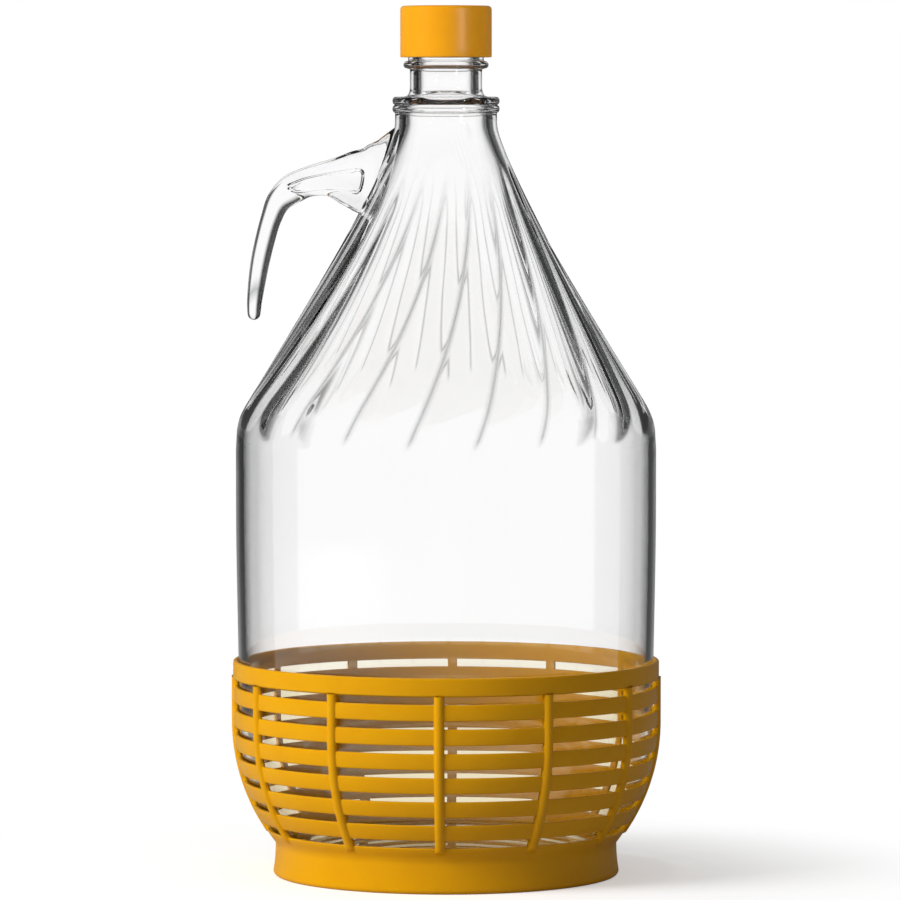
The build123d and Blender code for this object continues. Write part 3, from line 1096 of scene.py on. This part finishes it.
@dataclass
class Basket:
    """The openwork basket: rim band, slats with upright ribs, a round bowl, a waist and a foot."""

    plastic: MouldedPlastic = field(
        default_factory=lambda: MouldedPlastic(
            "yellow_plastic", (0.82, 0.39, 0.0, 1.0), (0.74, 0.32, 0.0, 1.0), specular=0.22
        )
    )

    # Wall and rim
    radius: float = 91.0
    wall: float = 1.8
    top: float = 92.4
    rim_height: float = 7.4
    rim_proud: float = 0.4
    rim_round: float = 0.8
    rim_flat: float = 2.4
    rim_lip: float = 0.12
    rim_edge: tuple[tuple[float, float], ...] = ((-0.25, -0.1), (-0.06, 0.0), (0.0, 0.3), (0.0, 2.4))

    # Bowl, floor and foot
    bowl_arc: float = 85.0
    bowl_top: float = 66.0
    seat: float = 9.5
    foot_hollow: float = 7.0
    hollow_round: float = 0.8
    hollow_edge: float = 0.3
    floor_steps: tuple[float, ...] = (1.0, 18.0, 40.0, 60.0)
    bowl_steps: tuple[float, ...] = (16.5, 14.0, 12.0)
    bowl_inset: float = 0.6
    bowl_rise: float = 0.15
    waist_height: float = 14.0
    foot_spread: float = 1.0
    foot_edge: float = 2.0
    foot_round: float = 1.8
    foot_wall: float = 3.0

    # Upright ribs
    rib_count: int = 12
    rib_phase: float = -1.8
    rib_radius: float = 2.3
    rib_proud: float = 1.2
    rib_foot: float = 17.6
    rib_steps: tuple[float, ...] = (0.24, 0.46, 0.66, 0.82, 0.94, 1.0)
    rib_start: tuple[tuple[float, float], ...] = ((-1.5, 0.0), (0.0, 0.0), (0.1, 0.6), (0.5, 1.0))

    # Rows of gaps, the posts beside them and the slats between them
    gap_rows: int = 7
    gap_first: float = 83.0
    gap_pitch: float = 10.25
    gap_height: float = 3.4
    post_width: float = 4.4
    core_radius: float = 40.0
    inner_bevel: float = 0.5
    edge_round: float = 0.55
    edge_steps: tuple[float, ...] = (0.22, 0.6, 1.0)
    slat_crown: float = 0.2
    crown_spread: float = 1.6
    crown_place: float = 1.2
    crown_away: float = 2.0
    span_columns: int = 5

    def outer_radius(self, height: float) -> float:
        """Radius of the outer wall at a height, without ribs and rim band."""
        if height >= self.bowl_top:
            return self.radius
        return self.radius - self.bowl_arc + math.sqrt(self.bowl_arc**2 - (self.bowl_top - height) ** 2)

    def inner_radius(self, height: float) -> float:
        """Radius of the inner wall at a height."""
        if height >= self.bowl_top:
            return self.radius - self.wall
        arc = self.bowl_arc - self.wall
        return self.radius - self.bowl_arc + math.sqrt(arc**2 - (self.bowl_top - height) ** 2)

    def gap_levels(self) -> list[tuple[float, float, bool]]:
        """Levels of the slats and gaps, from the lowest gap up.

        Returns:
            For each level its height, its distance from the nearest gap, and whether a gap starts
            there and reaches up to the next level.
        """
        half, size = self.gap_height / 2, self.edge_round
        levels = []
        for row in reversed(range(self.gap_rows)):
            middle = self.gap_first - self.gap_pitch * row
            low, high = middle - half, middle + half
            levels += [(low - part * size, part * size, False) for part in reversed(self.edge_steps)]
            levels += [(low, 0.0, True), (high, 0.0, False)]
            levels += [(high + part * size, part * size, False) for part in self.edge_steps]
            if row:
                crown = middle + self.gap_pitch / 2
                levels += [(crown - self.crown_place, self.crown_away, False)]
                levels += [(crown + self.crown_place, self.crown_away, False)]
        return levels

    def outside_rings(self) -> tuple[list[Ring], list[int]]:
        """Rings from the middle of the underside out and up to the rim's top.

        Returns:
            The rings, and the index of each ring at a gap's lower edge.
        """
        waist = self.outer_radius(self.waist_height)
        foot = waist + self.foot_spread
        bend, small, edge = self.hollow_round, self.hollow_edge, self.foot_round
        hollow = waist + self.foot_spread / 2 - self.foot_wall
        rings = plain_rings([(radius, self.foot_hollow) for radius in (*self.floor_steps, hollow - bend)])
        rings += plain_rings(arc_rows((hollow - bend, self.foot_hollow - bend), bend, 90, 0, 5)[1:])
        rings += plain_rings(arc_rows((hollow + small, small), small, 180, 270, 4))
        rings += plain_rings(arc_rows((foot - edge, edge), edge, -90, 0, 8))
        for share in np.linspace(0.0, 1.0, 9)[1:]:
            back = 1.0 - share
            radius = foot * back**2 + waist * (2 * back * share + share**2)
            height = self.foot_edge * back**2 + self.waist_height * (back * share + share**2)
            rings.append(Ring(float(radius), float(height)))
        for above, rib in self.rib_start:
            height = self.rib_foot + above
            rings.append(Ring(self.outer_radius(height), height, rib=rib))
        starts = []
        for height, away, starts_gap in self.gap_levels():
            if starts_gap:
                starts.append(len(rings))
            rings.append(Ring(self.outer_radius(height), height, rib=1.0, gap_away=away))
        band = self.top - self.rim_height
        proud = self.radius + self.rim_proud
        for below in (self.rim_proud, self.rim_lip):
            rings.append(Ring(self.radius, band - below, rib=1.0))
        rings += plain_rings([(proud + out, band + up) for out, up in self.rim_edge])
        rings += plain_rings([(proud, self.top - self.rim_flat)])
        size = self.rim_round
        rings += plain_rings(arc_rows((proud - size, self.top - size), size, 0, 90, 7))
        return rings, starts

    def inside_rings(self) -> tuple[list[Ring], list[int]]:
        """Rings from the rim's top down the inside to the middle of the floor.

        Returns:
            The rings, and the index of each ring at a gap's lower edge, counted within them.
        """
        wall, size = self.radius - self.wall, self.rim_round
        rings = plain_rings(arc_rows((wall + size, self.top - size), size, 90, 180, 7), inner=True)
        rings += plain_rings([(wall, self.top - self.rim_height / 2)], inner=True)
        starts = []
        for height, away, starts_gap in reversed(self.gap_levels()):
            if starts_gap:
                starts.append(len(rings))
            rings.append(Ring(self.inner_radius(height), height, gap_away=away, inner=True))
        rings += plain_rings([(self.inner_radius(height), height) for height in self.bowl_steps], inner=True)
        bend = self.inner_radius(self.seat)
        corner = [(bend, self.seat + self.bowl_rise), (bend - self.bowl_inset, self.seat)]
        rings += plain_rings(corner, inner=True)
        rings += plain_rings([(radius, self.seat) for radius in reversed(self.floor_steps)], inner=True)
        return rings, starts[::-1]

    def column_plan(self) -> tuple[np.ndarray, ...]:
        """Plan of the grid's columns around one rib and across the span to the next.

        Returns:
            For each column the rib that it belongs to, its side of it, its distance from the rib's
            middle in millimetres, and its share of the way from there to the span's middle.
        """
        foot = math.sqrt(self.rib_radius**2 - (self.rib_radius - self.rib_proud) ** 2)
        post, size = self.post_width / 2, self.edge_round
        near = [0.0] + [foot * part for part in self.rib_steps]
        near += [post] + [post + part * size for part in self.edge_steps]
        away = near + [near[-1]] * self.span_columns
        share = [0.0] * len(near) + list(np.linspace(0.0, 1.0, self.span_columns + 1)[1:])
        count = len(away)
        order = list(range(count)) + list(range(count - 2, 0, -1))
        rib = [0] * count + [1] * (count - 2)
        side = [1.0] * count + [-1.0] * (count - 2)
        ribs, sides, aways, shares = [], [], [], []
        for number in range(self.rib_count):
            ribs += [number + extra for extra in rib]
            sides += side
            aways += [away[index] for index in order]
            shares += [share[index] for index in order]
        return np.array(ribs), np.array(sides), np.array(aways), np.array(shares)

    def ring_points(self, ring: Ring, plan: tuple[np.ndarray, ...]) -> np.ndarray:
        """Points of one ring.

        Args:
            ring: the ring.
            plan: the columns' plan.

        Returns:
            One row of x, y, z for each column.
        """
        rib, side, away, share = plan
        span = 360.0 / self.rib_count
        reach = np.degrees(away / max(ring.radius, self.core_radius))
        azimuth = self.rib_phase + span * rib + side * (reach + share * (span / 2 - reach))
        post = self.post_width / 2
        across = np.where(share > 0, 0.0, np.clip(post - away, 0.0, None))
        from_gap = np.hypot(across, ring.gap_away)
        size = self.edge_round
        bevel = size * (1.0 - np.sqrt(1.0 - np.clip(1.0 - from_gap / size, 0.0, 1.0) ** 2))
        if ring.inner:
            radius = ring.radius + self.inner_bevel * bevel
        else:
            sink = self.rib_radius - self.rib_proud
            bar = np.sqrt(np.clip(self.rib_radius**2 - away**2, 0.0, None)) - sink
            rib_rise = np.where(share > 0, 0.0, np.clip(bar, 0.0, None)) * ring.rib
            crown = self.slat_crown * math.exp(-((ring.gap_away / self.crown_spread) ** 2))
            radius = ring.radius - np.where(rib_rise > 0, 0.0, bevel + crown) + rib_rise
        return circle_points(radius, azimuth, np.full_like(azimuth, ring.height))

    def build(self) -> bpy.types.Object:
        """Make and dress the basket.

        Returns:
            The finished piece, riding on the bottle's body.
        """
        plan = self.column_plan()
        outside, outer_starts = self.outside_rings()
        inside, inner_starts = self.inside_rings()
        rings = outside + inside
        inner_starts = [index + len(outside) for index in inner_starts]
        columns = len(plan[0])
        points = [self.ring_points(ring, plan) for ring in rings]
        points.append(axis_points(self.foot_hollow, self.seat))
        sector = columns // self.rib_count
        first = len(self.rib_steps) + 1
        last = sector - first
        in_gap = [first <= column % sector < last for column in range(columns)]
        open_rows = set(outer_starts) | {index - 1 for index in inner_starts}
        faces = []
        for row in range(len(rings) - 1):
            for column in range(columns):
                if row in open_rows and in_gap[column]:
                    continue
                low, beside = row * columns, (column + 1) % columns
                faces.append((low + column, low + beside, low + columns + beside, low + columns + column))
        for outer, inner in zip(outer_starts, inner_starts):
            for column in range(columns):
                if in_gap[column]:
                    beside = (column + 1) % columns
                    low_out, low_in = outer * columns, inner * columns
                    high_out, high_in = (outer + 1) * columns, (inner - 1) * columns
                    faces.append((low_out + column, low_in + column, low_in + beside, low_out + beside))
                    faces.append((high_out + column, high_out + beside, high_in + beside, high_in + column))
                if column % sector in (first, last):
                    quad = [outer * columns + column, (outer + 1) * columns + column]
                    quad += [(inner - 1) * columns + column, inner * columns + column]
                    faces.append(tuple(quad if column % sector == first else quad[::-1]))
        faces += fan_faces(len(rings), columns)
        piece = mesh_object("openwork_basket", np.concatenate(points), faces)
        recalculate_normals(piece)
        piece.data.materials.append(self.plastic.build())
        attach(piece, Body.BOTTLE.value)
        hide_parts("basket")
        return piece


@dataclass
class ScrewCap:
    """The orange cap: a plain skirt with a rounded top edge and a thread inside."""

    plastic: MouldedPlastic = field(
        default_factory=lambda: MouldedPlastic(
            "orange_plastic", (0.90, 0.38, 0.006, 1.0), (0.82, 0.31, 0.004, 1.0), specular=0.3
        )
    )
    thread: Thread = field(default_factory=Thread)
    radius: float = 19.55
    wall: float = 1.7
    foot: float = 350.3
    inside_top: float = 370.3
    inside_round: float = 0.4
    top: float = 372.2
    edge: float = 1.6
    foot_round: float = 0.35
    thread_height: float = 1.1
    thread_low: float = 352.9
    thread_high: float = 366.5
    crown_radii: tuple[float, ...] = (16.5, 14.0, 9.0, 4.0, 0.6)
    crown_rim: float = 17.0
    crown_swell: float = 4.0
    crown_dip: float = 0.12
    inside_radii: tuple[float, ...] = (0.6, 6.0, 12.0)
    columns: int = 180

    def build(self) -> bpy.types.Object:
        """Make and dress the cap.

        Returns:
            The finished piece, riding on the cap's body.
        """
        azimuth = even_turn(self.columns)
        small, edge = self.foot_round, self.edge
        bore = self.radius - self.wall
        roof, corner = self.inside_top, self.inside_round
        inside = [(radius, roof) for radius in (*self.inside_radii, bore - corner)]
        inside += [(bore - corner / 4, roof - corner / 4), (bore, roof - corner)]
        rows = turned_rows(inside, azimuth)
        for height in np.linspace(roof - 2 * corner, self.foot + small + corner / 2, 44):
            level = np.full_like(azimuth, height)
            shift = self.thread.pitch / 2
            ridge = self.thread.ridge(azimuth, level, self.thread_low, self.thread_high, shift)
            rows.append(circle_points(bore - self.thread_height * ridge, azimuth, level))
        outside = arc_rows((bore + small, self.foot + small), small, 180, 270, 4)
        outside += arc_rows((self.radius - small, self.foot + small), small, -90, 0, 5)
        for height in np.linspace(self.foot + small, self.top - edge, 8)[1:-1]:
            outside.append((self.radius, float(height)))
        outside += arc_rows((self.radius - edge, self.top - edge), edge, 0, 90, 12)
        for radius in self.crown_radii:
            dip = self.crown_dip * smooth_step(np.array((self.crown_rim - radius) / self.crown_swell)).item()
            outside.append((radius, self.top - dip))
        rows += turned_rows(outside, azimuth)
        piece = closed_turning("orange_cap", rows, roof, self.top - self.crown_dip)
        piece.data.materials.append(self.plastic.build())
        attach(piece, Body.CAP.value)
        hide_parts("screw_cap")
        return piece


@dataclass
class CapLiner:
    """The foam sealing disc between the mouth and the cap."""

    foam: FoamDisc = field(default_factory=FoamDisc)
    radius: float = 17.55
    foot: float = 368.7
    thickness: float = 1.6
    edge: float = 0.35
    face_radii: tuple[float, ...] = (0.5, 6.0, 12.0)
    columns: int = 120

    def build(self) -> bpy.types.Object:
        """Make and dress the disc.

        Returns:
            The finished piece, riding on the liner's body.
        """
        top = self.foot + self.thickness
        size = self.edge
        profile = [(radius, self.foot) for radius in self.face_radii]
        profile += arc_rows((self.radius - size, self.foot + size), size, -90, 0, 5)
        profile += arc_rows((self.radius - size, top - size), size, 0, 90, 5)
        profile += [(radius, top) for radius in reversed(self.face_radii)]
        rows = turned_rows(profile, even_turn(self.columns))
        piece = closed_turning("foam_liner", rows, self.foot, top)
        piece.data.materials.append(self.foam.build())
        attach(piece, Body.LINER.value)
        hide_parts("cap_liner")
        return piece


@dataclass(frozen=True)
class SoftLight:
    """A square soft light: where it stands around the object, its width and its power."""

    name: str
    azimuth: float
    distance: float
    height: float
    size: float
    energy: float


@dataclass
class Studio:
    """White floor and backdrop, soft lights, dark cards for the glass edges, and the camera."""

    # Camera
    lens: float = 243.0
    sensor: float = 36.0
    view_depth: float = 50.0
    distance: float = 2.6
    camera_height: float = 0.326
    aim: tuple[float, float, float] = (0.0017, 0.0, 0.1823)

    # Surroundings and floor
    world_light: float = 0.22
    floor_size: float = 9.0
    floor_fade: tuple[float, float] = (0.085, 0.24)
    floor_paint: Colour = (0.97, 0.97, 0.97, 1.0)
    floor_glow: float = 0.42
    floor_bounce: Colour = (0.55, 0.55, 0.55, 1.0)

    # Lights
    soft_lights: tuple[SoftLight, ...] = (
        SoftLight("key", azimuth=-60.0, distance=1.6, height=0.8, size=0.9, energy=28.0),
        SoftLight("fill", azimuth=50.0, distance=2.0, height=1.2, size=1.6, energy=0.6),
    )
    light_aim: float = 0.18
    spot_azimuth: float = 40.0
    spot_distance: float = 1.2
    spot_height: float = 0.5
    spot_energy: float = 32.0
    spot_aim: float = 0.361
    spot_angle: float = 6.0
    spot_soft_edge: float = 0.4
    spot_radius: float = 0.08

    # Dark cards, one on each side of the view behind the object
    card_radius: float = 0.5
    card_fade: float = 0.34
    card_low: float = 0.01
    card_high: float = 1.1
    card_start: float = 14.0
    card_span: float = 62.0
    card_steps: int = 24
    card_tones: tuple[Colour, Colour] = ((0.03, 0.032, 0.032, 1.0), (0.005, 0.0055, 0.0055, 1.0))

    def place(self, azimuth: float, distance: float, height: float) -> Vector:
        """A point of the studio at an azimuth around the object."""
        angle = math.radians(azimuth)
        return Vector((distance * math.sin(angle), -distance * math.cos(angle), height))

    def stand(self, name: str, data: bpy.types.ID, spot: Vector, target: Vector) -> bpy.types.Object:
        """Put a camera or a light up at a spot, looking at a target.

        Args:
            name: the object's name.
            data: its camera or light.
            spot: where it stands.
            target: what it looks at.

        Returns:
            The object.
        """
        thing = bpy.data.objects.new(name, data)
        bpy.context.scene.collection.objects.link(thing)
        thing.location = spot
        thing.rotation_euler = (target - thing.location).to_track_quat("-Z", "Y").to_euler()
        return thing

    def sheet(
        self, name: str, points: list[tuple[float, ...]], faces: Faces
    ) -> tuple[bpy.types.Object, Graph]:
        """Make a flat part of the studio with an empty material.

        Args:
            name: its name and that of its material.
            points: its points in metres.
            faces: tuples of point indices.

        Returns:
            The object and its material's graph.
        """
        mesh = bpy.data.meshes.new(name)
        mesh.from_pydata(points, [], faces)
        sheet = bpy.data.objects.new(name, mesh)
        bpy.context.scene.collection.objects.link(sheet)
        material, graph = new_material(name)
        mesh.materials.append(material)
        return sheet, graph

    def camera(self) -> None:
        """Make the camera with the photo's view."""
        data = bpy.data.cameras.new("camera")
        data.lens = self.lens
        data.sensor_width = self.sensor
        data.clip_end = self.view_depth
        spot = Vector((self.aim[0], -self.distance, self.camera_height))
        bpy.context.scene.camera = self.stand("camera", data, spot, Vector(self.aim))

    def world(self) -> None:
        """Make the white surroundings: full white to look at, softer as light."""
        world = bpy.data.worlds.new("white_studio")
        world.use_nodes = True
        bpy.context.scene.world = world
        graph = Graph(world.node_tree)
        strength = graph.add("MapRange", To_Min=self.world_light, To_Max=1.0)
        graph.link(graph.seen_or_through(), "Value", strength, "Value")
        back = graph.add("Background", Color=WHITE)
        graph.link(strength, "Result", back, "Strength")
        out = graph.add("OutputWorld")
        graph.link(back, "Background", out, "Surface")

    def floor(self) -> bpy.types.Object:
        """Make the white floor, which takes the object's shadow near it and is plain white further off.

        Returns:
            The floor, grey to all rays but those of the camera and those through glass.
        """
        size = self.floor_size
        corners = [(-size, -size, 0.0), (size, -size, 0.0), (size, size, 0.0), (-size, size, 0.0)]
        floor, graph = self.sheet("floor_white", corners, [(0, 1, 2, 3)])
        place = graph.add("TexCoord")
        away = graph.add("VectorMath", operation="LENGTH")
        graph.link(place, "Object", away, 0)
        near, far = self.floor_fade
        fade = graph.add("MapRange", interpolation_type="SMOOTHSTEP", From_Min=near, From_Max=far)
        graph.link(away, "Value", fade, "Value")
        paint = graph.add("BsdfDiffuse", Color=self.floor_paint)
        glow = graph.add("Emission", Color=WHITE, Strength=self.floor_glow)
        shaded = graph.add("AddShader")
        graph.link(paint, "BSDF", shaded, 0)
        graph.link(glow, "Emission", shaded, 1)
        white = graph.add("Emission", Color=WHITE, Strength=1.0)
        top = graph.add("MixShader")
        graph.link(fade, "Result", top, "Fac")
        graph.link(shaded, "Shader", top, 1)
        graph.link(white, "Emission", top, 2)
        bounce = graph.add("BsdfDiffuse", Color=self.floor_bounce)
        choice = graph.add("MixShader")
        graph.link(graph.seen_or_through(), "Value", choice, "Fac")
        graph.link(bounce, "BSDF", choice, 1)
        graph.link(top, "Shader", choice, 2)
        out = graph.add("OutputMaterial")
        graph.link(choice, "Shader", out, "Surface")
        return floor

    def card(self, name: str, turn: float, tone: Colour) -> bpy.types.Object:
        """Make one upright dark card behind the object, which the glass edges bend into sight.

        Args:
            name: the card's name.
            turn: 1 for the card whose azimuths rise from its inner edge, -1 for the other one.
            tone: colour of its darker part.

        Returns:
            The card, seen only by rays that went through the glass.
        """
        points, faces = [], []
        start = 180.0 + turn * self.card_start
        for azimuth in np.linspace(start, start + turn * self.card_span, self.card_steps):
            for height in (self.card_low, self.card_high):
                points.append(tuple(self.place(float(azimuth), self.card_radius, height)))
        for low in range(0, 2 * self.card_steps - 2, 2):
            faces.append((low, low + 2, low + 3, low + 1))
        card, graph = self.sheet(name, points, faces)
        spot = graph.add("TexCoord")
        split = graph.add("SeparateXYZ")
        graph.link(spot, "Generated", split, "Vector")
        if turn > 0:
            grade = graph.ramp((1.0 - self.card_fade, tone), (1.0, WHITE))
        else:
            grade = graph.ramp((0.0, WHITE), (self.card_fade, tone))
        graph.link(split, "X", grade, "Fac")
        dark = graph.add("Emission", Strength=1.0)
        graph.link(grade, "Color", dark, "Color")
        out = graph.add("OutputMaterial")
        graph.link(dark, "Emission", out, "Surface")
        card.visible_camera = card.visible_shadow = False
        card.visible_diffuse = card.visible_glossy = False
        return card

    def light(self, plan: SoftLight) -> None:
        """Make one soft light that looks at the object."""
        data = bpy.data.lights.new(plan.name, "AREA")
        data.size = plan.size
        data.energy = plan.energy
        spot = self.place(plan.azimuth, plan.distance, plan.height)
        lamp = self.stand(plan.name, data, spot, Vector((0.0, 0.0, self.light_aim)))
        lamp.visible_camera = lamp.visible_glossy = lamp.visible_transmission = False

    def cap_spot(self) -> None:
        """Make the narrow light on the cap."""
        data = bpy.data.lights.new("cap_fill", "SPOT")
        data.energy = self.spot_energy
        data.spot_size = math.radians(self.spot_angle)
        data.spot_blend = self.spot_soft_edge
        data.shadow_soft_size = self.spot_radius
        spot = self.place(self.spot_azimuth, self.spot_distance, self.spot_height)
        self.stand("cap_fill", data, spot, Vector((0.0, 0.0, self.spot_aim)))

    def build(self) -> None:
        """Set the whole studio up."""
        self.camera()
        self.world()
        cards = [self.card("card_0", -1.0, self.card_tones[0]), self.card("card_1", 1.0, self.card_tones[1])]
        self.floor()
        for plan in self.soft_lights:
            self.light(plan)
        self.cap_spot()


def main() -> None:
    """Build the demijohn and its studio."""
    logging.basicConfig(level=logging.INFO)
    for builder in (GlassBottle(), Basket(), CapLiner(), ScrewCap()):
        piece = builder.build()
        log.info("%s: %d faces", piece.name, len(piece.data.polygons))
    Studio().build()
    bpy.context.scene.view_settings.view_transform = "Standard"


if __name__ == "__main__":
    main()
